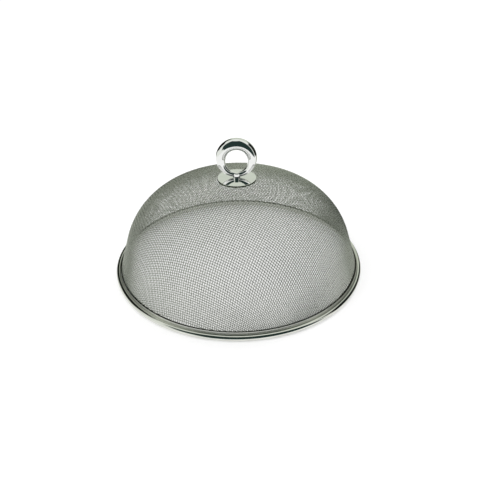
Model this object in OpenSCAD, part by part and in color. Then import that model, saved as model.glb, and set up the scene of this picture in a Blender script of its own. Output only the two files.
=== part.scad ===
// Food cover: a dome of woven wire cloth, hemmed in a rolled steel rim and lifted by a finger ring.
// The part stands on its rim. The origin is the middle of the rim, at table height, and Z points up.

/* [Dome] */
// Outer diameter of the rim
rim_d = 300; // [260:5:340]
// Height of the wire cloth at its crown, above the table
dome_h = 112; // [100:1:124]
// Radius of the shallow crown
crown_r = 203; // [180:1:260]
// Radius of the shoulder between the crown and the side
shoulder_r = 87.5; // [72:0.5:98]
// Lean of the straight side, in degrees from upright
side_lean = 17.5; // [12:0.5:21]

/* [Wire cloth] */
// Diameter of one wire
wire_d = 0.65; // [0.3:0.05:0.8]
// Distance between neighbouring wires, along the cloth
wire_pitch = 2.6; // [2.2:0.1:8]
// Turn of the cloth about the upright axis, in degrees
cloth_turn = 63; // [0:1:90]
// Lean of the outermost wires' planes, in degrees, where the drawn cloth has sheared most
edge_lean = 35; // [0:1:40]
// Height of the cut wire ends, inside the rim
wire_end_z = 2.6; // [2.2:0.1:4]

/* [Rim] */
// Diameter of the rolled bead
bead_d = 6; // [5.5:0.1:7]
// Depth of the flat on which the bead stands
bead_flat = 0.2; // [0.1:0.05:0.3]
// Thickness of the rim's sheet
sheet_t = 0.5; // [0.4:0.05:0.8]
// Height of the hem's top edge, where the cloth comes out
hem_h = 7.7; // [7:0.1:9]
// Distance from the outer edge of the rim to the middle of the cloth, at the hem's top
hem_w = 7.8; // [7.4:0.1:9]
// Height of the hem's inner corner above the table
hem_foot_z = 1; // [0.6:0.1:2]
// Place of the crease between hem and bead, in degrees round the bead from its outer edge
crease_turn = 142; // [120:1:148]
// Diameter of the stiffening wire inside the bead
rim_wire_d = 4; // [2:0.1:4.4]

/* [Base plate] */
// Diameter of the base plate
plate_d = 45; // [38:0.5:60]
// Height of the plate's edge
plate_t = 2; // [1.5:0.1:3]
// Rise of the plate's top from its edge to its middle
plate_rise = 0.4; // [0:0.1:1]
// Radius of the plate's rounded top edge
plate_edge_r = 0.7; // [0.3:0.1:1.2]

/* [Stem] */
// Diameter of the stem
stem_d = 8; // [7:0.1:12]
// Height of the stem above the base plate
stem_h = 5.3; // [5:0.1:9]
// Depth to which the ring sits in the stem's saddle
saddle_t = 4.7; // [3:0.1:5]

/* [Ring] */
// Outer diameter of the ring
ring_d = 46; // [40:0.5:60]
// Diameter of the finger hole
hole_d = 27; // [24:0.5:30]
// Thickness of the ring at its top, from the hole to the outer edge
ring_top_t = 13.5; // [10:0.1:14]
// Depth of the ring at its top, from front to back
ring_depth = 13; // [10:0.1:13.1]
// Depth of the ring at its foot, in the saddle
ring_foot_depth = 5.5; // [4:0.1:6]
// Radius of the ring's rounded edges
ring_edge_r = 6.7; // [6.6:0.1:7]

/* [Fixing] */
// Diameter of the backing washer under the cloth
washer_d = 32; // [24:0.5:40]
// Thickness of the backing washer
washer_t = 1.2; // [0.8:0.1:2]
// Thread diameter of the fixing screw
screw_d = 4; // [3:0.5:5]
// Depth of the tapped hole in the ring
tapped_h = 4; // [3:0.1:4.5]
// Head diameter of the fixing screw
screw_head_d = 8; // [6:0.1:10]
// Head height of the fixing screw
screw_head_h = 2.6; // [2:0.1:3.5]

/* [Hidden] */
$fn = 128;
// Facets of a circle as large as the dome
dome_facets = 256;

// Gap between the two layers of wires, and between the cloth and what clamps it
layer_gap = 0.02;
// Clearance of a wire, a screw or a bead in what holds it
fit_gap = 0.1;
// Overrun of every cut past the face that it leaves by
overrun = 1;
// Rise of the shoulder's arc over the crown and the side, where they meet
join_lap = 0.05;
// Widths of the screw's cross recess
recess_w = 1;
recess_l = 4.4;
recess_h = 1.4;
// Radius of the screw head's crown
screw_crown_r = 6;

rim_r = rim_d / 2;
bead_r = bead_d / 2;
ring_r = ring_d / 2;
hole_r = hole_d / 2;
cloth_half_t = wire_d + layer_gap / 2;
screw_hole_d = screw_d + 2 * fit_gap;

// The cloth's middle surface is turned from a crown arc, a shoulder arc and a straight side,
// each tangent to the next.
crown_c = [0, dome_h - crown_r];
side_up = [-sin(side_lean), cos(side_lean)];
side_out = [cos(side_lean), sin(side_lean)];
hem_mouth = [rim_r - hem_w, hem_h];
wire_end = hem_mouth - side_up * (hem_h - wire_end_z) / cos(side_lean);
shoulder_reach = hem_mouth - shoulder_r * side_out - crown_c;
reach_up = shoulder_reach * side_up;
side_l = sqrt(pow(reach_up, 2) - shoulder_reach * shoulder_reach + pow(crown_r - shoulder_r, 2)) - reach_up;
shoulder_c = hem_mouth + side_l * side_up - shoulder_r * side_out;
join_turn = atan2(shoulder_c.x, shoulder_c.y - crown_c.y);
side_turn = 90 - side_lean;

// Lengths along the cloth from its crown to the shoulder, to the side and to the hem
crown_s = crown_r * PI * join_turn / 180;
shoulder_s = crown_s + shoulder_r * PI * (side_turn - join_turn) / 180;
hem_s = shoulder_s + side_l;

// Point of the middle surface at the length s from the crown
function cloth_at(s) =
  s < crown_s ? crown_c + crown_r * heading(180 * s / crown_r / PI) :
  s < shoulder_s ?
    shoulder_c + shoulder_r * heading(join_turn + 180 * (s - crown_s) / shoulder_r / PI) :
  shoulder_c + shoulder_r * heading(side_turn) - (s - shoulder_s) * side_up;

// Unit vector that leans from upright by the angle a
function heading(a) = [sin(a), cos(a)];

// Wires on each side of the crown. The first pair straddles it, half a pitch away.
half_share = 0.5;
wire_count = floor(hem_s / wire_pitch + half_share);
function wire_s(i) = (i + half_share) * wire_pitch;

// A flat cloth drawn into a dome shears, so each wire lies in a plane that leans more,
// the nearer it is to the rim.
function wire_lean(s) = edge_lean * pow(s / hem_s, 2);

// Heights of the handle's pieces
plate_top_z = dome_h + plate_t;
seat_z = dome_h + cloth_half_t + layer_gap;
stem_low_z = plate_top_z + plate_rise;
ring_low_z = stem_low_z + stem_h - saddle_t;
ring_c_z = ring_low_z + ring_r;
hole_c_z = ring_c_z + ring_r - ring_top_t - hole_r;
edge_depth = ring_depth / 2 + ring_edge_r;
washer_low_z = dome_h - cloth_half_t - layer_gap - washer_t;

// Ring between two radii, in a plane
module ring_2d(inner, outer) {
  difference() {
    circle(outer, $fn = dome_facets);
    circle(inner, $fn = dome_facets);
  }
}

// Block on one side of a line through a point, on the left of the line's direction
module beyond_2d(at, along) {
  far = 2 * crown_r;
  across = [-along.y, along.x];
  polygon([at - far * along, at + far * along, at + far * (along + across), at + far * (across - along)]);
}

// Everything under the cloth's middle surface moved out by t: the crown's disc, less what lies outside
// the shoulder and less what lies outside the side. The arcs cross at a slight angle, set by join_lap.
module under_2d(t) {
  far = 2 * crown_r;
  join = crown_c + crown_r * heading(join_turn);
  side_top = shoulder_c + shoulder_r * side_out;
  difference() {
    translate(crown_c) circle(crown_r + t, $fn = dome_facets);
    difference() {
      translate([join.x, side_top.y]) square(far);
      translate(shoulder_c + join_lap * (heading(join_turn) + side_out))
        circle(shoulder_r + t, $fn = dome_facets);
    }
    beyond_2d(side_top + t * side_out, -side_up);
  }
}

// Half section of one layer of the cloth, between two distances from its middle surface
module cloth_2d(inner, outer) {
  difference() {
    under_2d(outer);
    under_2d(inner);
    beyond_2d([screw_hole_d / 2, 0], [0, 1]);
    beyond_2d(wire_end, -side_out);
  }
}

// Thin upright slab that cuts one wire out of a layer, at the length s from the crown
module wire_slab(s) {
  top = cloth_at(s);
  below = (top.y - wire_end.y) / cos(wire_lean(s)) + overrun;
  translate([top.x, 0, top.y])
    rotate([0, wire_lean(s), 0])
      translate([-wire_d / 2, -rim_r, -below])
        cube([wire_d, rim_d, below + overrun]);
}

// All the slabs of one direction, on both sides of the crown
module wire_slabs() {
  for (i = [0 : wire_count - 1], side = [0, 180])
    rotate([0, 0, side])
      wire_slab(wire_s(i));
}

// One layer of parallel wires, sliced from the dome
module wire_layer(inner, outer, turn) {
  intersection() {
    rotate_extrude() cloth_2d(inner, outer);
    rotate([0, 0, turn]) wire_slabs();
  }
}

module warp_wires() {
  color("silver") wire_layer(layer_gap / 2, cloth_half_t, cloth_turn);
}

module weft_wires() {
  color("silver") wire_layer(-cloth_half_t, -layer_gap / 2, cloth_turn + 90);
}

// Corner of an outline moved inwards by t, between the corners before and after it.
// Corners run clockwise.
function unit(v) = v / norm(v);
function right_of(v) = [v.y, -v.x];
function inset_corner(before, at, after, t) =
  let (a = right_of(unit(at - before)), b = right_of(unit(after - at)))
  at + t * (a + b) / (1 + a * b);
function inset(points, t) =
  let (n = len(points))
  [for (i = [0 : n - 1])
    inset_corner(points[(i + n - 1) % n], points[i], points[(i + 1) % n], t)];

bead_c = [rim_r - bead_r, bead_r - bead_flat];
crease = bead_c + bead_r * [cos(crease_turn), sin(crease_turn)];
lip_half_t = cloth_half_t + fit_gap + sheet_t;
lip_out = hem_mouth + lip_half_t * side_out;
lip_in = hem_mouth - lip_half_t * side_out;
hem_foot = lip_in - side_up * (lip_in.y - hem_foot_z) / cos(side_lean);
bead_foot = [bead_c.x, 0];
hem_points = [lip_in, lip_out, crease, bead_c, bead_foot, hem_foot];

// Mouth of the hem, through which the cloth goes in
module hem_slot_2d() {
  slot_half_t = cloth_half_t + fit_gap;
  polygon([
    hem_mouth + slot_half_t * side_out + overrun * side_up,
    hem_mouth - slot_half_t * side_out + overrun * side_up,
    wire_end - slot_half_t * side_out,
    wire_end + slot_half_t * side_out
  ]);
}

// The rim is one strip of sheet, rolled into a bead and folded back to grip both faces of the cloth.
module rim_channel() {
  color("gainsboro")
    difference() {
      union() {
        rotate_extrude() polygon(hem_points);
        rotate_extrude() translate(bead_c) circle(bead_r);
      }
      rotate_extrude() polygon(inset(hem_points, sheet_t));
      rotate_extrude() translate(bead_c) circle(bead_r - sheet_t);
      rotate_extrude() hem_slot_2d();
      translate([0, 0, -bead_d]) cylinder(r = rim_r + overrun, h = bead_d);
    }
}

module rim_wire() {
  color("darkgray")
    rotate_extrude()
      translate(bead_c)
        circle(d = rim_wire_d);
}

// Polished plate whose underside is hollowed to seat on the crown
module base_plate() {
  plate_r = plate_d / 2;
  edge_c = [plate_r - plate_edge_r, plate_top_z - plate_edge_r];
  color("whitesmoke")
    rotate_extrude()
      difference() {
        polygon([
          [screw_hole_d / 2, dome_h],
          [screw_hole_d / 2, stem_low_z],
          [stem_d / 2, stem_low_z],
          [edge_c.x, plate_top_z],
          [plate_r, plate_top_z],
          [plate_r, dome_h]
        ]);
        difference() {
          translate(edge_c) square(plate_edge_r + overrun);
          translate(edge_c) circle(plate_edge_r);
        }
        translate(crown_c) circle(seat_z - crown_c.y, $fn = dome_facets);
      }
}

// Upright cylinder on the axis, for a bore or a shank
module axial(d, low, high) {
  translate([0, 0, low]) cylinder(d = d, h = high - low);
}

// Half section, from its axis out to x, whose outer edge is rounded
module round_edge_2d(x) {
  difference() {
    translate([0, -edge_depth / 2]) square([x, edge_depth]);
    difference() {
      translate([x - ring_edge_r, -edge_depth]) square([ring_edge_r + overrun, 2 * edge_depth]);
      translate([x - ring_edge_r, 0]) circle(ring_edge_r);
    }
  }
}

// Half section of the finger hole, from its axis out to x, which leaves a rounded edge round it
module round_hole_2d(x) {
  difference() {
    translate([0, -edge_depth / 2]) square([x + ring_edge_r, edge_depth]);
    translate([x + ring_edge_r, 0]) circle(ring_edge_r);
  }
}

// Outline of the ring from the side, deepest at its top
module ring_side_2d() {
  polygon([
    [-ring_foot_depth / 2, ring_low_z],
    [ring_foot_depth / 2, ring_low_z],
    [ring_depth / 2, ring_low_z + ring_d],
    [-ring_depth / 2, ring_low_z + ring_d]
  ]);
}

// Ring with an eccentric finger hole, so that it is thickest at its top
module ring_body() {
  intersection() {
    rotate([90, 0, 90])
      linear_extrude(ring_d + 2 * overrun, center = true)
        ring_side_2d();
    difference() {
      translate([0, 0, ring_c_z]) rotate([90, 0, 0]) rotate_extrude() round_edge_2d(ring_r);
      translate([0, 0, hole_c_z]) rotate([90, 0, 0]) rotate_extrude() round_hole_2d(hole_r);
    }
  }
}

module ring_handle() {
  color("whitesmoke")
    difference() {
      ring_body();
      axial(screw_d, ring_low_z - overrun, ring_low_z + tapped_h);
    }
}

// Short post with a saddle, in which the ring stands upright
module stem() {
  color("whitesmoke")
    difference() {
      axial(stem_d, stem_low_z, stem_low_z + stem_h);
      ring_body();
      axial(screw_hole_d, stem_low_z - overrun, ring_low_z + overrun);
    }
}

// Dished washer that clamps the cloth from below
module backing_washer() {
  outer = crown_r - cloth_half_t - layer_gap;
  color("silver")
    rotate_extrude()
      intersection() {
        translate(crown_c) ring_2d(outer - washer_t, outer);
        translate([screw_hole_d / 2, dome_h / 2]) square([(washer_d - screw_hole_d) / 2, dome_h]);
      }
}

// Screw that draws the washer, the cloth, the plate and the stem up against the ring
module fixing_screw() {
  head_low_z = washer_low_z - screw_head_h;
  color("silver")
    difference() {
      union() {
        axial(screw_d, washer_low_z - overrun, ring_low_z + tapped_h - fit_gap);
        intersection() {
          axial(screw_head_d, head_low_z, washer_low_z - layer_gap);
          translate([0, 0, head_low_z + screw_crown_r]) sphere(screw_crown_r);
        }
      }
      for (turn = [0, 90])
        rotate([0, 0, turn])
          translate([-recess_l / 2, -recess_w / 2, head_low_z - overrun])
            cube([recess_l, recess_w, recess_h + overrun]);
    }
}

warp_wires();
weft_wires();
rim_channel();
rim_wire();
base_plate();
stem();
ring_handle();
backing_washer();
fixing_screw();
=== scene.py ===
import math

import bpy
import numpy as np
from bpy.props import FloatProperty, FloatVectorProperty, PointerProperty
from mathutils import Matrix, Vector


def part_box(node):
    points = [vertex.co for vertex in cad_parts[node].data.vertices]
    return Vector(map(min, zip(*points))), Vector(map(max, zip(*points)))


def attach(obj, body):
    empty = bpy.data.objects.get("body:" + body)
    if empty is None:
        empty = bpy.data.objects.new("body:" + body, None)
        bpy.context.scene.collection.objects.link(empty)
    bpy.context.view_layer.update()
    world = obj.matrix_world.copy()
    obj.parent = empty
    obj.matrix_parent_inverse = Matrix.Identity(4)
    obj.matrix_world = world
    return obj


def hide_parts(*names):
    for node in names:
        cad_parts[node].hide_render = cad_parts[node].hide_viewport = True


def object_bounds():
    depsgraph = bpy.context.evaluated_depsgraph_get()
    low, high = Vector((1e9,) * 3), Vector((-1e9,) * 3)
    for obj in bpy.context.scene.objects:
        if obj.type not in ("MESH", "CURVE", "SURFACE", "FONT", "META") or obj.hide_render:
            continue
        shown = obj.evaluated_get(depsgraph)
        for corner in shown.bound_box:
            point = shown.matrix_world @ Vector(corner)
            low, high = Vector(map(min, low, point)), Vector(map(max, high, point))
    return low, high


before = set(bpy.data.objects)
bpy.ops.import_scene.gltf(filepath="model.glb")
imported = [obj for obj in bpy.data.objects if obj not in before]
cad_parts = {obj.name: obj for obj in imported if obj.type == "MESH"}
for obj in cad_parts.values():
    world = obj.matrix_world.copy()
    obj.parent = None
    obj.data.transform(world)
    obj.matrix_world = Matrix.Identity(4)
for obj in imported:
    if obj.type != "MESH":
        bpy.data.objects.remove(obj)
CAD_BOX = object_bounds()

bl_info = {
    "name": "Wire-Mesh Food Cover",
    "version": (1, 0, 0),
    "blender": (4, 5, 0),
    "location": "View3D > Sidebar > Food Cover",
    "description": "Builds a woven wire food cover with a rolled rim and a finger ring, and its studio",
    "category": "Add Mesh",
}

# Places from the frame, in metres
RIM_R = float(CAD_BOX[1].x)
PLATE_LOW, PLATE_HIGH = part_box("base_plate")
STEM_LOW, STEM_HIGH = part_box("stem")
RING_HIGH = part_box("ring_handle")[1]

# Cloth: corners round one wire and the two quads that close its end, how far below the hem wires still cross,
# the halvings that find a crossing, half the shortest wire in pitches, and the cloth's pieces
WIRE_SIDES = 6
WIRE_CAPS = np.array([[0, 1, 2, 3], [0, 3, 4, 5]])
CROSSING_DEPTH = 0.0012
HALVINGS = 48
SHORTEST_HALF = 2
CLOTH_PARTS = ("left", "mid_left", "mid_right", "right")

# Rim: the cloth's inset from its edge, the cloth's play in the hem's slot, the slot's depth, and fold radii
HEM_INSET = 0.0078
CLOTH_PLAY = 0.0001
SLOT_DEPTH = 0.003
LIP_OUTER_R, LIP_INNER_R = 0.00022, 0.00012
FOLD_R, FOOT_R, HEEL_R = 0.0001, 0.0005, 0.0003

# Rim's section: its stretch of painted shade from lip edge to lip edge, counted in corners, the angle that
# the bead's arc leaves free before the crease, and the numbers of points
SLOT_SHADE_FROM, SLOT_SHADE_TO = 1.3, 5.5
CREASE_GAP = 0.06
BEAD_POINTS = 44
RIM_CORNER_STEPS = 6
RIM_STEPS = 360

# Handle: the hollow under the plate, small edge radii, the span of the plate's side wall that takes painted
# shade, counted in corners, and the numbers of points
BORE_LIFT, HOLLOW_LIFT = 0.0005, 0.0004
HOLLOW_R, SHARP_R, SOFT_R = 0.001, 0.0001, 0.0002
EDGE_SHADE_FROM, EDGE_SHADE_TO = 3, 4.5
HANDLE_CORNER_STEPS = 9
PLATE_STEPS, STEM_STEPS = 256, 128
RING_STEPS, RING_SIDES = 256, 96

# Studio: half the floor's side, the softboxes and the point they aim at, the camera's sensor, and the grid of
# the mirrored room, its lowest direction in degrees and its height over the floor
FLOOR_HALF = 4.0
SOFTBOXES = {"left_softbox": (-1.1, -0.5, 1.0), "right_softbox": (0.9, 1.0, 1.2)}
AIM = Vector((0, 0, 0.06))
SENSOR_MM = 36.0
ROOM_AZIMUTHS, ROOM_HEIGHTS = 241, 133
ROOM_LOWEST = -42
ROOM_LIFT = 0.001

# Rounded corners: the most of an edge that an arc takes, and how far past the arc a point holds the flat, as
# a share of the arc's own cut and at most of the shorter edge
ARC_SHARE = 0.45
HOLD_CUT, HOLD_EDGE = 0.25, 0.04

# Finishes: the values that a noise mostly takes, and plain white
NOISE_SPAN = (0.3, 0.7)
WHITE = (1.0, 1.0, 1.0)


def length(name, description, default):
    """A size in metres that the sidebar shows in the scene's unit."""
    return FloatProperty(name=name, description=description, default=default, min=0.0, precision=5,
                         unit="LENGTH")


def angle(name, description, degrees):
    """An angle that the sidebar shows in degrees."""
    return FloatProperty(name=name, description=description, default=math.radians(degrees), subtype="ANGLE")


def colour(name, description, default):
    """A linear RGB colour."""
    return FloatVectorProperty(name=name, description=description, default=default, size=3, min=0.0, max=1.0,
                               subtype="COLOR")


def share(name, description, default):
    """A value from 0 to 1."""
    return FloatProperty(name=name, description=description, default=default, min=0.0, max=1.0,
                         subtype="FACTOR")


class CoverClothSettings(bpy.types.PropertyGroup):
    """Sizes of the dome and of the wire cloth that it is drawn from."""

    dome_h: length("Dome height", "Height of the cloth at its crown", 0.112)
    crown_r: length("Crown radius", "Radius of the shallow crown", 0.203)
    shoulder_r: length("Shoulder radius", "Radius between the crown and the side", 0.0875)
    side_lean: angle("Side lean", "Lean of the straight side from upright", 17.5)
    hem_r: length("Hem radius", "Radius of the cloth where it goes into the rim", RIM_R - HEM_INSET)
    hem_h: length("Hem height", "Height at which the cloth goes into the rim", 0.0077)
    end_h: length("Wire end height", "Height at which the wires end inside the rim", 0.0040)
    wire_d: length("Wire diameter", "Diameter of one wire", 0.00065)
    pitch: length("Pitch", "Distance between neighbouring wires along the cloth", 0.0026)
    turn: angle("Cloth turn", "Turn of the cloth about the upright axis", 63)
    edge_lean: angle("Edge lean", "Lean of the outermost wires' planes", 35)
    steel: colour("Wire steel", "Colour of the bright drawn wire", (0.46, 0.48, 0.42))
    # Painted shade: the wire is coloured towards this where it dips under its neighbouring wire
    valley_shade: colour("Weave valley", "Colour of a wire where it dips under its neighbour", (0.28, 0.30, 0.25))
    roughness: share("Roughness", "Mean roughness of the drawn wire", 0.27)


class CoverRimSettings(bpy.types.PropertyGroup):
    """Sizes of the rolled rim."""

    bead_d: length("Bead diameter", "Diameter of the rolled bead", 0.006)
    bead_flat: length("Bead flat", "Depth of the flat on which the bead stands", 0.0002)
    sheet_t: length("Sheet thickness", "Thickness of the rim's sheet", 0.0005)
    hem_gap: length("Hem gap", "Gap between the cloth and the outer lip of the hem", 0.0007)
    crease_turn: angle("Crease turn", "Place of the crease round the bead from its outer edge", 142)
    foot_h: length("Hem foot", "Height of the hem's inner corner", 0.001)
    steel: colour("Rim steel", "Colour of the polished sheet", (0.76, 0.77, 0.72))
    # Painted shade: this near black stands in for the shadow in the hem's slot and on its lip edges
    slot: colour("Slot", "Colour of the dark slot between the hem's lips", (0.02, 0.02, 0.015))
    roughness: share("Bead roughness", "Roughness of the polished bead", 0.08)
    hem_roughness: share("Hem roughness", "Roughness of the folded hem", 0.34)


class CoverHandleSettings(bpy.types.PropertyGroup):
    """Sizes of the plate, the stem and the finger ring."""

    plate_edge_r: length("Plate edge radius", "Radius of the plate's rounded top edge", 0.0007)
    plate_rise: length("Plate rise", "Rise of the plate from its edge to its middle", 0.0004)
    bore_r: length("Bore radius", "Radius of the screw's hole", 0.0021)
    stem_edge_r: length("Stem edge radius", "Radius of the stem's top edge", 0.0006)
    hole_d: length("Finger hole", "Diameter of the finger hole", 0.027)
    ring_top_t: length("Ring top", "Thickness of the ring at its top", 0.0135)
    ring_side_t: length("Ring sides", "Thickness of the ring at its sides", 0.0106)
    chrome: colour("Chrome", "Colour of the mirror finish", (0.88, 0.89, 0.87))
    roughness: share("Roughness", "Mean roughness of the mirror finish", 0.035)
    # Painted shade and reflection: this dark colour stands in for the shadow and dark reflection on the
    # plate's side wall
    edge: colour("Plate edge", "Colour of the plate's dull cut edge", (0.06, 0.075, 0.05))
    plain: colour("Plain steel", "Colour of the hidden washer, screw and rim wire", (0.55, 0.56, 0.57))


class CoverStageSettings(bpy.types.PropertyGroup):
    """Camera and light."""

    elevation: angle("Camera elevation", "Height of the camera above the table, as an angle", 34.18)
    distance: length("Camera distance", "Distance of the camera from the middle of the rim", 0.7001)
    lens: FloatProperty(name="Lens", description="Focal length of the camera", default=42.0, min=1.0,
                        unit="CAMERA")
    roll: angle("Camera roll", "Turn of the camera about its line of sight", 1.18)
    shift_x: FloatProperty(name="Shift X", description="Sideways shift of the frame", default=0.0032)
    shift_y: FloatProperty(name="Shift Y", description="Upward shift of the frame", default=0.0426)
    room_h: length("Room middle", "Height of the middle of the room that the metal mirrors", 0.145)
    room_r: length("Room radius", "Radius of the room that the metal mirrors", 0.5)
    tent: colour("Tent", "Colour of the white tent round the object", (0.86, 0.88, 0.84))
    backdrop: colour("Backdrop", "Colour of the backdrop behind the object", (0.64, 0.68, 0.60))
    corner: colour("Corners", "Colour of the dark corners beside the backdrop", (0.012, 0.014, 0.012))
    room: colour("Front room", "Colour of the dark room in front of the object", (0.022, 0.040, 0.036))
    dusk: colour("Shaded table", "Colour of the table's shaded part, behind on the right", (0.40, 0.42, 0.36))
    table: colour("Table", "Colour of the table's top", (0.8, 0.8, 0.8))
    table_glow: share("Table glow", "Strength that makes the lit table white", 0.25)
    sky: FloatProperty(name="Sky strength", description="Strength of the even light", default=1.0, min=0.0)
    softbox_size: length("Softbox size", "Side of each softbox", 0.6)
    softbox_power: FloatProperty(name="Softbox power", description="Power of each softbox", default=3.0,
                                 min=0.0, unit="POWER")


def grid_faces(rows, columns, closed):
    """Quads of a grid of points, four corners each, closed across the last row and column where asked."""
    r = np.arange(rows if closed else rows - 1)
    c = np.arange(columns if closed else columns - 1)
    r, c = (a.ravel() for a in np.meshgrid(r, c, indexing="ij"))
    r2, c2 = (r + 1) % rows, (c + 1) % columns
    return np.stack([r * columns + c, r2 * columns + c, r2 * columns + c2, r * columns + c2], 1)


def turned(loop, steps):
    """A closed loop of (radius, height), counter-clockwise, carried round the Z axis:
    point (a, t) = (radius(t) cos a, radius(t) sin a, height(t))."""
    a = np.linspace(0, 2 * math.pi, steps, endpoint=False)[:, None]
    r, z = loop[:, 0][None], loop[:, 1][None]
    points = np.stack([r * np.cos(a), r * np.sin(a), z + 0 * a], -1)
    return points.reshape(-1, 3), grid_faces(steps, len(loop), True)


def rounded(section, steps):
    """A closed loop from rows of (corner, radius), with an arc at each corner. An arc of radius q at a corner
    of inner angle w starts q / tan(w / 2) from the corner along both edges. A point just before and after it
    keeps the flats flat when shaded smooth, so a corner has steps + 2 points."""
    parts = []
    corners = np.array([corner for corner, _ in section], float)
    for k, (corner, (_, radius)) in enumerate(zip(corners, section)):
        back = corners[k - 1] - corner
        on = corners[(k + 1) % len(corners)] - corner
        back_l, on_l = np.linalg.norm(back), np.linalg.norm(on)
        back, on = back / back_l, on / on_l
        half = math.acos(float(np.clip(back @ on, -1, 1))) / 2
        cut = min(radius / math.tan(half), ARC_SHARE * back_l, ARC_SHARE * on_l)
        bisector = (back + on) / np.linalg.norm(back + on)
        middle = corner + bisector * cut * math.tan(half) / math.sin(half)
        start, end = corner + cut * back - middle, corner + cut * on - middle
        t = np.linspace(0, 1, steps)[:, None]
        sweep = math.pi - 2 * half
        arc = (np.sin((1 - t) * sweep) * start + np.sin(t * sweep) * end) / math.sin(sweep)
        reach = cut + min(HOLD_CUT * cut, HOLD_EDGE * min(back_l, on_l))
        parts.append(np.vstack([[corner + reach * back], middle + arc, [corner + reach * on]]))
    return np.vstack(parts)


def corner_span(loop, steps, start, stop):
    """True for the points of a loop from one of its corners to another; half a corner counts too."""
    corner = np.arange(len(loop)) / (steps + 2)
    return (corner >= start) & (corner < stop)


def put_piece(name, points, faces, material, node):
    """Makes an object from an array of points and an array of quads, puts it in place of its CAD node and
    lets it ride."""
    mesh = bpy.data.meshes.new(name)
    mesh.vertices.add(len(points))
    mesh.vertices.foreach_set("co", np.ascontiguousarray(points, np.float32).ravel())
    mesh.loops.add(faces.size)
    mesh.loops.foreach_set("vertex_index", np.ascontiguousarray(faces, np.int32).ravel())
    mesh.polygons.add(len(faces))
    mesh.polygons.foreach_set("loop_start", np.arange(0, faces.size, 4, dtype=np.int32))
    mesh.polygons.foreach_set("use_smooth", np.ones(len(faces), bool))
    mesh.update(calc_edges=True)
    mesh.materials.append(material)
    piece = bpy.data.objects.new(name, mesh)
    bpy.context.scene.collection.objects.link(piece)
    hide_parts(node)
    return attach(piece, "root")


def mark(piece, name, values):
    """Gives each point of a piece a number, which the piece's material reads by its name."""
    layer = piece.data.attributes.new(name, "FLOAT", "POINT")
    layer.data.foreach_set("value", np.asarray(values, np.float32))


class DomeProfile:
    """Half section of the cloth's middle surface: a crown arc, a shoulder arc and a straight side, each
    tangent to the next."""

    def __init__(self, s):
        self.crown_r, self.shoulder_r, self.lean = s.crown_r, s.shoulder_r, s.side_lean
        self.crown_z = s.dome_h - s.crown_r
        self.up = np.array([-math.sin(self.lean), math.cos(self.lean)])
        self.out = np.array([math.cos(self.lean), math.sin(self.lean)])
        self.hem = np.array([s.hem_r, s.hem_h])
        # The shoulder's middle is shoulder_r inside the side and d = crown_r - shoulder_r from the crown's
        # middle, so the side's length is the larger root of side_l^2 + 2 along side_l + reach^2 = d^2
        reach = self.hem - s.shoulder_r * self.out - np.array([0, self.crown_z])
        along = reach @ self.up
        side_l = math.sqrt(along ** 2 - reach @ reach + (s.crown_r - s.shoulder_r) ** 2) - along
        self.shoulder_c = self.hem + side_l * self.up - s.shoulder_r * self.out
        self.join = math.atan2(self.shoulder_c[0], self.shoulder_c[1] - self.crown_z)
        self.join_z = self.crown_z + s.crown_r * math.cos(self.join)
        self.side_z = self.shoulder_c[1] + s.shoulder_r * self.out[1]
        self.crown_s = s.crown_r * self.join
        self.shoulder_s = self.crown_s + s.shoulder_r * (math.pi / 2 - self.lean - self.join)
        self.hem_s = self.shoulder_s + side_l

    def at(self, s):
        """Radius and height at the length s from the crown."""
        a = s / self.crown_r
        b = self.join + (s - self.crown_s) / self.shoulder_r
        crown, side = s < self.crown_s, s > self.shoulder_s
        r = np.where(crown, self.crown_r * np.sin(a), self.shoulder_c[0] + self.shoulder_r * np.sin(b))
        z = np.where(crown, self.crown_z + self.crown_r * np.cos(a),
                     self.shoulder_c[1] + self.shoulder_r * np.cos(b))
        top = self.shoulder_c + self.shoulder_r * self.out
        down = s - self.shoulder_s
        return np.where(side, top[0] - down * self.up[0], r), np.where(side, top[1] - down * self.up[1], z)

    def radius(self, z):
        """Radius at the height z."""
        crown = np.sqrt(np.maximum(self.crown_r ** 2 - (z - self.crown_z) ** 2, 0))
        bulge = np.sqrt(np.maximum(self.shoulder_r ** 2 - (z - self.shoulder_c[1]) ** 2, 0))
        shoulder = self.shoulder_c[0] + bulge
        side = self.hem[0] - (z - self.hem[1]) * math.tan(self.lean)
        return np.where(z > self.join_z, crown, np.where(z > self.side_z, shoulder, side))

    def normal(self, points):
        """Outward unit normals at points on the surface."""
        r = np.hypot(points[:, 0], points[:, 1])
        z = points[:, 2]
        crown, shoulder = z > self.join_z, z > self.side_z
        shoulder_nr = (r - self.shoulder_c[0]) / self.shoulder_r
        shoulder_nz = (z - self.shoulder_c[1]) / self.shoulder_r
        nr = np.where(crown, r / self.crown_r, np.where(shoulder, shoulder_nr, self.out[0]))
        nz = np.where(crown, (z - self.crown_z) / self.crown_r, np.where(shoulder, shoulder_nz, self.out[1]))
        flat = points[:, :2] / np.maximum(r, 1e-9)[:, None]
        n = np.column_stack([flat * nr[:, None], nz])
        return n / np.linalg.norm(n, axis=1)[:, None]


def wire_planes(s, dome):
    """Every wire of one direction lies in a leaning plane u = u0 + k (z - z0). Rows from one edge of the
    cloth to the other: side (+1 or -1), u0, z0 and k = tan(lean), where the lean grows with the square of the
    length from the crown."""
    count = int(dome.hem_s / s.pitch + 0.5)
    lengths = (np.arange(count) + 0.5) * s.pitch
    lengths = lengths[lengths < dome.hem_s - 0.5 * s.pitch]
    u0, z0 = dome.at(lengths)
    k = np.tan(s.edge_lean * (lengths / dome.hem_s) ** 2)
    rows = np.column_stack([np.ones_like(u0), u0, z0, k])
    other = rows[::-1].copy()
    other[:, 0] = -1
    return np.vstack([other, rows])


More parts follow.
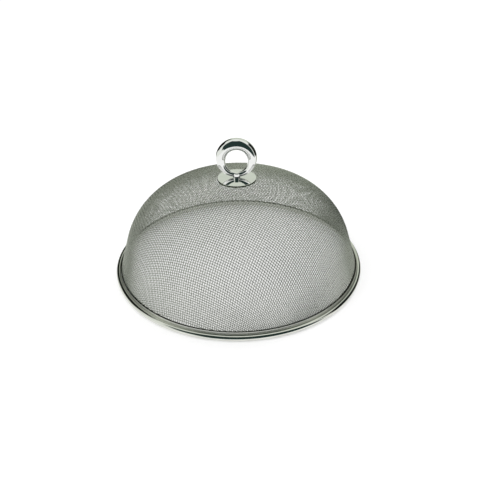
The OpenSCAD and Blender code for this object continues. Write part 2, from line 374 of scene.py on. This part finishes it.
def crossings(planes, dome, low):
    """Places (u, v, z) at which wire i of one direction and wire j of the other cross on the dome, by halving
    the interval of height in which u(z)^2 + v(z)^2 - radius(z)^2 changes sign; not a number where they don't
    cross above low."""
    side, u0, z0, k = planes.T

    def across(z, index):
        return u0[index] + k[index] * (z - z0[index])

    i, j = np.meshgrid(np.arange(len(planes)), np.arange(len(planes)), indexing="ij")
    a = np.full(i.shape, low)
    b = np.minimum(z0[i], z0[j])
    meet = across(a, i) ** 2 + across(a, j) ** 2 < dome.radius(a) ** 2
    for _ in range(HALVINGS):
        z = (a + b) / 2
        inside = across(z, i) ** 2 + across(z, j) ** 2 < dome.radius(z) ** 2
        a, b = np.where(inside, z, a), np.where(inside, b, z)
    u, v = side[i] * across(a, i), side[j] * across(a, j)
    return np.where(meet, u, np.nan), np.where(meet, v, np.nan), np.where(meet, a, np.nan)


def wire_ends(planes, dome, low):
    """Places at the height low where each wire meets the rim: u by its plane, v = +-sqrt(radius^2 - u^2)."""
    u = planes[:, 0] * (planes[:, 1] + planes[:, 3] * (low - planes[:, 2]))
    v = np.sqrt(np.maximum(dome.radius(np.array(low)) ** 2 - u ** 2, 0))
    return u, v


def halved(linked, *rows):
    """Rows of numbers with the mean of each two linked neighbours put between them."""
    keep = np.ones(2 * len(linked) + 1, bool)
    keep[1::2] = linked
    doubled = []
    for row in rows:
        both = np.empty((len(keep), *row.shape[1:]))
        both[::2] = row
        both[1::2] = (row[1:] + row[:-1]) / 2
        doubled.append(both[keep])
    return doubled


def wire_courses(s, direction):
    """Middle lines of all wires of one direction of a plain weave, one after the other. The points of a wire
    are its crossings, moved along the dome's normal by half a wire up or down in turn, so that it goes over
    one neighbour and under the next, and the points halfway between them. Gives the points, the normals,
    1 where a wire is over and -1 where it is under, and the number of each point's wire."""
    dome = DomeProfile(s)
    planes = wire_planes(s, dome)
    count = len(planes)
    u, v, z = crossings(planes, dome, s.hem_h - CROSSING_DEPTH)
    i, j = np.meshgrid(np.arange(count), np.arange(count), indexing="ij")
    over = np.where((i + j) % 2 == 0, 1.0, -1.0)
    end_u, end_v = wire_ends(planes, dome, s.end_h)
    weft = direction == "weft"
    if weft:
        u, v, z, over = u.T, v.T, z.T, -over.T
    along, across = (u, v) if weft else (v, u)
    end_z, end_over = np.full(count, s.end_h), np.zeros(count)
    along = np.column_stack([-end_v, along, end_v])
    across = np.column_stack([end_u, across, end_u])
    z = np.column_stack([end_z, z, end_z])
    over = np.column_stack([end_over, over, end_over])
    keep = np.isfinite(z) & (end_v > SHORTEST_HALF * s.pitch)[:, None]
    wire = np.broadcast_to(np.arange(count)[:, None], keep.shape)[keep]
    along, across, z, over = along[keep], across[keep], z[keep], over[keep]
    if weft:
        along, across = across, along
    c, t = math.cos(s.turn), math.sin(s.turn)
    points = np.column_stack([c * across - t * along, t * across + c * along, z])
    normals = dome.normal(points)
    points = points + normals * (over * s.wire_d / 2)[:, None]
    return halved(wire[1:] == wire[:-1], points, normals, over, wire)


def wire_tubes(points, normals, wire, radius):
    """Closed tubes along the middle lines. Round each point runs a ring of corners,
    point + radius (cos a n + sin a b), where n is the normal and b is across the wire."""
    linked = wire[1:] == wire[:-1]
    step = np.where(linked[:, None], points[1:] - points[:-1], 0)
    none = np.zeros((1, 3))
    tangent = np.vstack([step, none]) + np.vstack([none, step])
    tangent /= np.linalg.norm(tangent, axis=1)[:, None]
    b = np.cross(tangent, normals)
    b /= np.linalg.norm(b, axis=1)[:, None]
    n = np.cross(b, tangent)
    a = np.linspace(0, 2 * math.pi, WIRE_SIDES, endpoint=False)
    ring = np.cos(a)[None, :, None] * n[:, None] + np.sin(a)[None, :, None] * b[:, None]
    corners = points[:, None] + radius * ring
    near = np.flatnonzero(linked)[:, None] * WIRE_SIDES
    far = near + WIRE_SIDES
    m = np.arange(WIRE_SIDES)
    m2 = (m + 1) % WIRE_SIDES
    walls = np.stack([near + m, near + m2, far + m2, far + m], -1).reshape(-1, 4)
    starts = np.flatnonzero(np.concatenate([[True], ~linked])) * WIRE_SIDES
    ends = np.flatnonzero(np.concatenate([~linked, [True]])) * WIRE_SIDES
    start_caps = (starts[:, None, None] + WIRE_CAPS[:, ::-1]).reshape(-1, 4)
    end_caps = (ends[:, None, None] + WIRE_CAPS).reshape(-1, 4)
    return corners.reshape(-1, 3), np.vstack([walls, start_caps, end_caps])


def finger_ring(outer, inner, top, side, high, steps, sides):
    """Round-sectioned ring between two circles that aren't concentric, a ring cyclide. With
    a = (outer + inner) / 2, d = (outer - inner) / 2, c = top / 2 - d, b^2 = a^2 - c^2 and
    w = a - c cos p cos q, a point is down = (d (c - a cos p cos q) + b^2 cos p) / w,
    across = b sin p (a - d cos q) / w, back = b sin q (c cos p - d) / w.
    The hole is narrowed at its sides, by up to (side - 2 d) sin^2 p."""
    a, d = (outer + inner) / 2, (outer - inner) / 2
    c = top / 2 - d
    b = math.sqrt(a * a - c * c)
    p = np.linspace(0, 2 * math.pi, steps, endpoint=False)[:, None]
    q = np.linspace(0, 2 * math.pi, sides, endpoint=False)[None]
    w = a - c * np.cos(p) * np.cos(q)
    down = (d * (c - a * np.cos(p) * np.cos(q)) + b * b * np.cos(p)) / w
    across = b * np.sin(p) * (a - d * np.cos(q)) / w
    across = across - (side - 2 * d) * np.sin(p) * np.abs(np.sin(p)) * (1 + np.cos(q)) / 2
    back = b * np.sin(q) * (c * np.cos(p) - d) / w
    middle = high - outer - c
    points = np.stack([across, back, middle - down], -1).reshape(-1, 3)
    return points, grid_faces(steps, sides, True)


def metal(name):
    """A node material of bare metal: the material, its tree, its shader and its Object coordinates."""
    material = bpy.data.materials.new(name)
    material.use_nodes = True
    tree = material.node_tree
    shader = tree.nodes["Principled BSDF"]
    shader.inputs["Metallic"].default_value = 1.0
    place = tree.nodes.new("ShaderNodeTexCoord").outputs["Object"]
    return material, tree, shader, place


def noise(tree, place, scale, detail=3.0):
    """A noise value on the given coordinates."""
    node = tree.nodes.new("ShaderNodeTexNoise")
    node.inputs["Scale"].default_value = scale
    node.inputs["Detail"].default_value = detail
    tree.links.new(place, node.inputs["Vector"])
    return node.outputs["Fac"]


def attribute(tree, name):
    """The number that the piece's points carry by this name."""
    node = tree.nodes.new("ShaderNodeAttribute")
    node.attribute_name = name
    return node.outputs["Fac"]


def spread(tree, value, low, high, span=NOISE_SPAN):
    """A value mapped from its span to low..high."""
    node = tree.nodes.new("ShaderNodeMapRange")
    for socket, number in zip(("From Min", "From Max", "To Min", "To Max"), (*span, low, high)):
        node.inputs[socket].default_value = number
    tree.links.new(value, node.inputs["Value"])
    return node.outputs["Result"]


def tint(tree, value, low, high, span=NOISE_SPAN):
    """A colour that runs from low to high as a value goes through its span."""
    node = tree.nodes.new("ShaderNodeValToRGB")
    for element, place, rgb in zip(node.color_ramp.elements, span, (low, high)):
        element.position = place
        element.color = (*rgb, 1.0)
    tree.links.new(value, node.inputs["Fac"])
    return node.outputs["Color"]


def marked(tree, shade, name, rgb):
    """A shade that gives way to another colour where the piece's attribute is 1."""
    mix = tree.nodes.new("ShaderNodeMix")
    mix.data_type = "RGBA"
    mix.inputs["B"].default_value = (*rgb, 1.0)
    tree.links.new(attribute(tree, name), mix.inputs["Factor"])
    tree.links.new(shade, mix.inputs["A"])
    return mix.outputs["Result"]


def multiplied(tree, shade, other):
    """The product of two colours."""
    mix = tree.nodes.new("ShaderNodeMix")
    mix.data_type = "RGBA"
    mix.blend_type = "MULTIPLY"
    mix.inputs["Factor"].default_value = 1.0
    tree.links.new(shade, mix.inputs["A"])
    tree.links.new(other, mix.inputs["B"])
    return mix.outputs["Result"]


def bump(tree, shader, value, strength, distance):
    """Relief from a value."""
    node = tree.nodes.new("ShaderNodeBump")
    node.inputs["Strength"].default_value = strength
    node.inputs["Distance"].default_value = distance
    tree.links.new(value, node.inputs["Height"])
    tree.links.new(node.outputs["Normal"], shader.inputs["Normal"])


def scaled(rgb, factor):
    """A colour times a factor, kept under 1."""
    return tuple(min(1.0, factor * c) for c in rgb)


def drawn_wire(s):
    """Bright drawn wire with painted shade: darker in the valleys of the weave, where a wire dips under its
    neighbour, and brighter on its crests, with a slow random change of tone and a fine change of gloss."""
    material, tree, shader, place = metal("bright_drawn_wire")
    # Painted shade: darker in the weave's valleys, where the wire dips under its neighbour, lighter on its
    # crests
    weave = tint(tree, attribute(tree, "crest"), s.valley_shade, s.steel, span=(0.0, 1.0))
    cloud = tint(tree, noise(tree, place, scale=40.0), low=(0.90, 0.91, 0.90), high=WHITE)
    tree.links.new(multiplied(tree, weave, cloud), shader.inputs["Base Color"])
    fine = noise(tree, place, scale=900.0)
    gloss = spread(tree, fine, low=s.roughness - 0.05, high=s.roughness + 0.08)
    tree.links.new(gloss, shader.inputs["Roughness"])
    return material


def polished(name, s, smear, edge=None):
    """Polished metal: a faint smear of tone and gloss over fine polishing marks and, where asked, a dark
    colour painted on the plate's side wall as its shade and dark reflection."""
    material, tree, shader, place = metal(name)
    slow = noise(tree, place, scale=smear)
    shade = tint(tree, slow, scaled(s.chrome, 0.96), scaled(s.chrome, 1.02))
    # Painted shade and reflection: the plate's side wall, where its edge attribute is 1, takes the dark edge
    # colour
    if edge:
        shade = marked(tree, shade, "edge", edge)
    tree.links.new(shade, shader.inputs["Base Color"])
    gloss = spread(tree, slow, low=s.roughness * 0.75, high=s.roughness * 1.35)
    tree.links.new(gloss, shader.inputs["Roughness"])
    bump(tree, shader, noise(tree, place, scale=2200.0, detail=2.0), strength=0.03, distance=0.00002)
    return material


def rolled_steel(s):
    """Rim sheet steel: polished on the bead, dull on the folded hem, with painted shade in the hem's slot."""
    material, tree, shader, place = metal("rolled_rim_steel")
    shade = tint(tree, noise(tree, place, scale=30.0), scaled(s.steel, 0.90), scaled(s.steel, 1.03))
    # Painted shade: the slot and its lip edges take the near-black slot colour
    tree.links.new(marked(tree, shade, "slot", s.slot), shader.inputs["Base Color"])
    gloss = spread(tree, attribute(tree, "hem"), low=s.roughness, high=s.hem_roughness, span=(0.0, 1.0))
    tree.links.new(gloss, shader.inputs["Roughness"])
    bump(tree, shader, noise(tree, place, scale=900.0, detail=2.0), strength=0.05, distance=0.00003)
    return material


def plain_steel(s):
    """Plain bright steel of the hidden pieces, with a milled grain."""
    material, tree, shader, place = metal("plain_bright_steel")
    grain = noise(tree, place, scale=700.0, detail=4.0)
    shade = tint(tree, grain, scaled(s.plain, 0.85), scaled(s.plain, 1.08))
    tree.links.new(shade, shader.inputs["Base Color"])
    tree.links.new(spread(tree, grain, low=0.28, high=0.42), shader.inputs["Roughness"])
    bump(tree, shader, grain, strength=0.1, distance=0.00005)
    return material


class COVER_OT_wire_cloth(bpy.types.Operator):
    """Weave the dome's wire cloth, in four pieces for each direction"""

    bl_idname = "cover.wire_cloth"
    bl_label = "Wire Cloth"

    def execute(self, context):
        s = context.scene.cover_cloth
        material = drawn_wire(s)
        for direction in ("warp", "weft"):
            lines, normals, over, wire = wire_courses(s, direction)
            points, faces = wire_tubes(lines, normals, wire, s.wire_d / 2)
            # 1 on the weave's crests and 0 in its valleys; the material paints shade into the valleys from it
            crest = np.repeat(over * 0.5 + 0.5, WIRE_SIDES)
            owner = np.repeat(wire, WIRE_SIDES)
            # The share of the points that come before a wire picks its part, so a part holds whole wires
            part = len(CLOTH_PARTS) * np.searchsorted(owner, owner) // len(owner)
            for k, side in enumerate(CLOTH_PARTS):
                mine = part == k
                index = np.cumsum(mine) - 1
                own = index[faces[mine[faces[:, 0]]]]
                piece = put_piece(f"{direction}_wires_{side}", points[mine], own, material,
                                  f"{direction}_wires")
                piece.visible_glossy = False
                mark(piece, "crest", crest[mine])
        return {"FINISHED"}


class COVER_OT_rim(bpy.types.Operator):
    """Roll the rim: a bead outside and a folded hem that grips the cloth"""

    bl_idname = "cover.rim"
    bl_label = "Rolled Rim"

    def execute(self, context):
        s, cloth = context.scene.cover_rim, context.scene.cover_cloth
        dome = DomeProfile(cloth)
        bead_r = s.bead_d / 2
        bead = np.array([RIM_R - bead_r, bead_r - s.bead_flat])
        flat = math.sqrt(bead_r ** 2 - bead[1] ** 2)
        a = np.linspace(math.atan2(-bead[1], flat), s.crease_turn - CREASE_GAP, BEAD_POINTS)
        arc = bead + bead_r * np.column_stack([np.cos(a), np.sin(a)])
        crease = bead + bead_r * np.array([math.cos(s.crease_turn), math.sin(s.crease_turn)])
        inside = cloth.wire_d + CLOTH_PLAY
        outside = inside + s.hem_gap
        deep = dome.hem - SLOT_DEPTH * dome.up
        inner_lip = dome.hem - (inside + s.sheet_t) * dome.out
        foot = inner_lip - dome.up * (inner_lip[1] - s.foot_h) / math.cos(dome.lean)
        # From the crease over the outer lip, into the slot, over the inner lip and down to the bead's flat
        section = (
            (crease, FOLD_R),
            (dome.hem + (outside + s.sheet_t) * dome.out, LIP_OUTER_R),
            (dome.hem + outside * dome.out, LIP_INNER_R),
            (deep + outside * dome.out, FOLD_R),
            (deep - inside * dome.out, FOLD_R),
            (dome.hem - inside * dome.out, LIP_INNER_R),
            (inner_lip, LIP_OUTER_R),
            (foot, FOOT_R),
            (bead - np.array([flat, bead[1]]), HEEL_R),
        )
        hem = rounded(section, RIM_CORNER_STEPS)
        loop = np.vstack([hem, arc])
        points, faces = turned(loop, RIM_STEPS)
        piece = put_piece("rolled_rim", points, faces, rolled_steel(s), "rim_channel")
        mark(piece, "hem", np.tile(np.arange(len(loop)) < len(hem), RIM_STEPS))
        # Painted shade: marks the slot and its lip edges, which the material colours near black
        mark(piece, "slot", np.tile(corner_span(loop, RIM_CORNER_STEPS, SLOT_SHADE_FROM, SLOT_SHADE_TO), RIM_STEPS))
        return {"FINISHED"}


class COVER_OT_plate(bpy.types.Operator):
    """Turn the polished plate that sits on the crown, and the short stem on it"""

    bl_idname = "cover.plate"
    bl_label = "Plate and Stem"

    def execute(self, context):
        s, cloth = context.scene.cover_handle, context.scene.cover_cloth
        chrome = polished("mirror_plate", s, smear=60.0, edge=s.edge)
        r, low, high = PLATE_HIGH.x, PLATE_LOW.z, PLATE_HIGH.z
        stem_r = STEM_HIGH.x
        crown = cloth.crown_r + cloth.wire_d
        seat = math.sqrt(max(crown ** 2 - (low - cloth.dome_h + cloth.crown_r) ** 2, 0))
        # From the bore out under the plate, round its edge and up to the stem
        section = (
            ((s.bore_r, low + BORE_LIFT), SHARP_R),
            ((0.5 * seat, low + HOLLOW_LIFT), HOLLOW_R),
            ((seat, low), HOLLOW_R),
            ((r, low), SOFT_R),
            ((r, high - s.plate_rise), s.plate_edge_r),
            ((stem_r, high), SOFT_R),
            ((s.bore_r, high), SHARP_R),
        )
        loop = rounded(section, HANDLE_CORNER_STEPS)
        points, faces = turned(loop, PLATE_STEPS)
        plate = put_piece("polished_plate", points, faces, chrome, "base_plate")
        plate.visible_glossy = False
        # Painted shade: marks the plate's side wall, which the material colours dark
        mark(plate, "edge", np.tile(corner_span(loop, HANDLE_CORNER_STEPS, EDGE_SHADE_FROM, EDGE_SHADE_TO), PLATE_STEPS))
        section = (
            ((s.bore_r, STEM_LOW.z), SHARP_R),
            ((stem_r, STEM_LOW.z), SHARP_R),
            ((stem_r, STEM_HIGH.z), s.stem_edge_r),
            ((s.bore_r, STEM_HIGH.z), SHARP_R),
        )
        points, faces = turned(rounded(section, HANDLE_CORNER_STEPS), STEM_STEPS)
        put_piece("turned_stem", points, faces, chrome, "stem")
        return {"FINISHED"}


class COVER_OT_ring(bpy.types.Operator):
    """Form the finger ring, thickest at its top"""

    bl_idname = "cover.ring"
    bl_label = "Finger Ring"

    def execute(self, context):
        s = context.scene.cover_handle
        points, faces = finger_ring(RING_HIGH.x, s.hole_d / 2, s.ring_top_t, s.ring_side_t, RING_HIGH.z,
                                    RING_STEPS, RING_SIDES)
        chrome = polished("mirror_ring", s, smear=70.0)
        put_piece("finger_ring", points, faces, chrome, "ring_handle")
        return {"FINISHED"}


class COVER_OT_fixing(bpy.types.Operator):
    """Finish the hidden washer, screw and rim wire in plain steel"""

    bl_idname = "cover.fixing"
    bl_label = "Hidden Fixings"

    def execute(self, context):
        material = plain_steel(context.scene.cover_handle)
        for name in ("backing_washer", "fixing_screw", "rim_wire"):
            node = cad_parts[name]
            node.data.materials.clear()
            node.data.materials.append(material)
        return {"FINISHED"}


def ease(x, low, high):
    """Smooth step from 0 at low to 1 at high: 3 t^2 - 2 t^3, with t the share of the way."""
    t = np.clip((x - low) / (high - low), 0, 1)
    return t * t * (3 - 2 * t)


def between(x, low, high, soft):
    """1 between low and high, 0 outside, with soft edges."""
    return ease(x, low - soft, low + soft) * (1 - ease(x, high - soft, high + soft))


def room_light(azimuth, height, s):
    """Colour of the room as the handle mirrors it, by direction in degrees: azimuth 0 is towards the camera
    and 90 to the right. A white table, shaded behind on the right, and a white tent, greyer behind, with the
    dark room in front and a dark corner to each side of the backdrop."""
    behind = np.abs(np.mod(azimuth, 360) - 180)
    right = ease(azimuth, -10, 10)
    # The dark room reaches further left as it rises, and its lower edge climbs to the left
    room_left = -44 - 26 * ease(height, -5, 35)
    room_low = -24 + 8 * ease(-azimuth, 0, 18) + 14 * ease(-azimuth, 18, 36)
    room = between(azimuth, room_left, high=62, soft=4) * between(height, room_low, high=75, soft=2)
    # The left corner starts closer to the backdrop's middle, and its far part ends higher above the table
    near, far = 14 + 30 * right, 88 + 20 * right
    corner_low = -17 + 22 * (1 - right) * ease(behind, 54, 70)
    corner_top = 42 - 6 * right
    corner = between(behind, near, far, soft=4) * between(height, corner_low, corner_top, soft=4)
    dusk = between(azimuth, low=100, high=170, soft=12) * between(height, low=-60, high=-17, soft=3)
    backdrop = between(behind, low=-90, high=60, soft=20) * between(height, low=-16, high=60, soft=6)
    table = 1 - ease(height, -20, -14)
    light = np.broadcast_to(np.array(s.tent), (*np.broadcast(azimuth, height).shape, 3))
    zones = ((table, WHITE), (backdrop, s.backdrop), (corner, s.corner), (room, s.room), (dusk, s.dusk))
    for zone, rgb in zones:
        light = light + zone[..., None] * (np.array(rgb) - light)
    return light


def mirrored_room(s):
    """Shell round the object that only mirrors see. A direction (azimuth, height) from the room's middle
    reaches the room's radius, or the floor where that is nearer, and has the room's colour there."""
    azimuth = np.linspace(-180, 180, ROOM_AZIMUTHS)[:, None]
    height = np.linspace(ROOM_LOWEST, 90, ROOM_HEIGHTS)[None]
    a, h = np.radians(azimuth), np.radians(height)
    reach = np.minimum(s.room_r, (s.room_h - ROOM_LIFT) / np.maximum(-np.sin(h), 1e-6))
    flat = reach * np.cos(h)
    points = np.stack([flat * np.sin(a), -flat * np.cos(a), s.room_h + reach * np.sin(h) + 0 * a], -1)
    mesh = bpy.data.meshes.new("mirrored_room")
    mesh.from_pydata(points.reshape(-1, 3), [], grid_faces(ROOM_AZIMUTHS, ROOM_HEIGHTS, False))
    light = room_light(azimuth, height, s).reshape(-1, 3)
    layer = mesh.attributes.new("light", "FLOAT_COLOR", "POINT")
    layer.data.foreach_set("color", np.column_stack([light, np.ones(len(light))]).astype(np.float32).ravel())
    material = bpy.data.materials.new("mirrored_room")
    material.use_nodes = True
    tree = material.node_tree
    tree.nodes.remove(tree.nodes["Principled BSDF"])
    glow = tree.nodes.new("ShaderNodeEmission")
    room_colour = tree.nodes.new("ShaderNodeAttribute")
    room_colour.attribute_name = "light"
    tree.links.new(room_colour.outputs["Color"], glow.inputs["Color"])
    tree.links.new(glow.outputs["Emission"], tree.nodes["Material Output"].inputs["Surface"])
    mesh.materials.append(material)
    room = bpy.data.objects.new("mirrored_room", mesh)
    bpy.context.scene.collection.objects.link(room)
    room.visible_camera = room.visible_diffuse = room.visible_shadow = room.visible_transmission = False


def larger(tree, first, second):
    """The larger of two values."""
    node = tree.nodes.new("ShaderNodeMath")
    node.operation = "MAXIMUM"
    tree.links.new(first, node.inputs[0])
    tree.links.new(second, node.inputs[1])
    return node.outputs[0]


def seen(tree):
    """1 for what the camera, a mirror or glass shows, and 0 for light that falls on something."""
    path = tree.nodes.new("ShaderNodeLightPath")
    value = path.outputs["Is Camera Ray"]
    for ray in ("Is Glossy Ray", "Is Transmission Ray"):
        value = larger(tree, value, path.outputs[ray])
    return value


def white_table(s):
    """The table: pale and dull, and lit up to white where the camera, a mirror or glass shows it."""
    material = bpy.data.materials.new("white_table")
    material.use_nodes = True
    tree = material.node_tree
    shader = tree.nodes["Principled BSDF"]
    shader.inputs["Base Color"].default_value = (*s.table, 1.0)
    shader.inputs["Roughness"].default_value = 0.9
    shader.inputs["Specular IOR Level"].default_value = 0.0
    shader.inputs["Emission Color"].default_value = (*WHITE, 1.0)
    glow = spread(tree, seen(tree), low=0.0, high=s.table_glow, span=(0.0, 1.0))
    tree.links.new(glow, shader.inputs["Emission Strength"])
    return material


def studio_floor(s):
    """A flat square on which the object stands."""
    mesh = bpy.data.meshes.new("studio_floor")
    corners = FLOOR_HALF * np.array([[-1, -1, 0], [1, -1, 0], [1, 1, 0], [-1, 1, 0]], float)
    mesh.from_pydata(corners, [], [(0, 1, 2, 3)])
    mesh.materials.append(white_table(s))
    floor = bpy.data.objects.new("studio_floor", mesh)
    bpy.context.scene.collection.objects.link(floor)


def soft_light(scene, s):
    """Even light from all round, and a background that stays white when that light is turned down."""
    world = bpy.data.worlds.new("soft_light")
    scene.world = world
    world.use_nodes = True
    tree = world.node_tree
    even = tree.nodes["Background"]
    even.inputs["Color"].default_value = (*WHITE, 1.0)
    even.inputs["Strength"].default_value = s.sky
    white = tree.nodes.new("ShaderNodeBackground")
    white.inputs["Color"].default_value = (*WHITE, 1.0)
    mix = tree.nodes.new("ShaderNodeMixShader")
    tree.links.new(seen(tree), mix.inputs["Fac"])
    tree.links.new(even.outputs["Background"], mix.inputs[1])
    tree.links.new(white.outputs["Background"], mix.inputs[2])
    tree.links.new(mix.outputs["Shader"], tree.nodes["World Output"].inputs["Surface"])


def softboxes(scene, s):
    """Two square lamps that look at the dome."""
    for name, place in SOFTBOXES.items():
        lamp = bpy.data.lights.new(name, "AREA")
        lamp.size = s.softbox_size
        lamp.energy = s.softbox_power
        softbox = bpy.data.objects.new(name, lamp)
        softbox.location = place
        softbox.rotation_euler = (AIM - Vector(place)).to_track_quat("-Z", "Y").to_euler()
        scene.collection.objects.link(softbox)


def photo_camera(scene, s):
    """The camera in front of the object, looking at the middle of its rim and turned by the roll."""
    data = bpy.data.cameras.new("photo_camera")
    data.lens = s.lens
    data.sensor_width = SENSOR_MM
    data.shift_x, data.shift_y = s.shift_x, s.shift_y
    camera = bpy.data.objects.new("photo_camera", data)
    back = Vector((0, -math.cos(s.elevation), math.sin(s.elevation)))
    right, up = Vector((1, 0, 0)), Vector((0, math.sin(s.elevation), math.cos(s.elevation)))
    c, n = math.cos(s.roll), math.sin(s.roll)
    axes = Matrix((c * right - n * up, n * right + c * up, back)).transposed()
    camera.matrix_world = Matrix.Translation(back * s.distance) @ axes.to_4x4()
    scene.collection.objects.link(camera)
    scene.camera = camera


class COVER_OT_stage(bpy.types.Operator):
    """Set the white floor, the soft light, the dark room that the metal mirrors, and the camera"""

    bl_idname = "cover.stage"
    bl_label = "Studio"

    def execute(self, context):
        s = context.scene.cover_stage
        studio_floor(s)
        soft_light(context.scene, s)
        mirrored_room(s)
        softboxes(context.scene, s)
        photo_camera(context.scene, s)
        context.scene.view_settings.view_transform = "Standard"
        return {"FINISHED"}


class COVER_PT_panel(bpy.types.Panel):
    """Lists the pieces and their sizes"""

    bl_idname = "COVER_PT_panel"
    bl_label = "Food Cover"
    bl_space_type = "VIEW_3D"
    bl_region_type = "UI"
    bl_category = "Food Cover"

    def draw(self, context):
        for title, group, operators in GROUPS:
            box = self.layout.box()
            box.label(text=title)
            settings = getattr(context.scene, group)
            for key in settings.__annotations__:
                box.prop(settings, key)
            for operator in operators:
                box.operator(operator)


GROUPS = (
    ("Wire cloth", "cover_cloth", ("cover.wire_cloth",)),
    ("Rim", "cover_rim", ("cover.rim",)),
    ("Handle", "cover_handle", ("cover.plate", "cover.ring", "cover.fixing")),
    ("Studio", "cover_stage", ("cover.stage",)),
)
SETTINGS = {
    "cover_cloth": CoverClothSettings,
    "cover_rim": CoverRimSettings,
    "cover_handle": CoverHandleSettings,
    "cover_stage": CoverStageSettings,
}
CLASSES = (
    *SETTINGS.values(),
    COVER_OT_wire_cloth,
    COVER_OT_rim,
    COVER_OT_plate,
    COVER_OT_ring,
    COVER_OT_fixing,
    COVER_OT_stage,
    COVER_PT_panel,
)


def register():
    for item in CLASSES:
        bpy.utils.register_class(item)
    for name, item in SETTINGS.items():
        setattr(bpy.types.Scene, name, PointerProperty(type=item))


def unregister():
    for name in SETTINGS:
        delattr(bpy.types.Scene, name)
    for item in reversed(CLASSES):
        bpy.utils.unregister_class(item)


def main():
    """Registers the add-on and builds every piece and the studio."""
    register()
    bpy.ops.cover.wire_cloth()
    bpy.ops.cover.rim()
    bpy.ops.cover.plate()
    bpy.ops.cover.ring()
    bpy.ops.cover.fixing()
    bpy.ops.cover.stage()


if __name__ == "__main__":
    main()
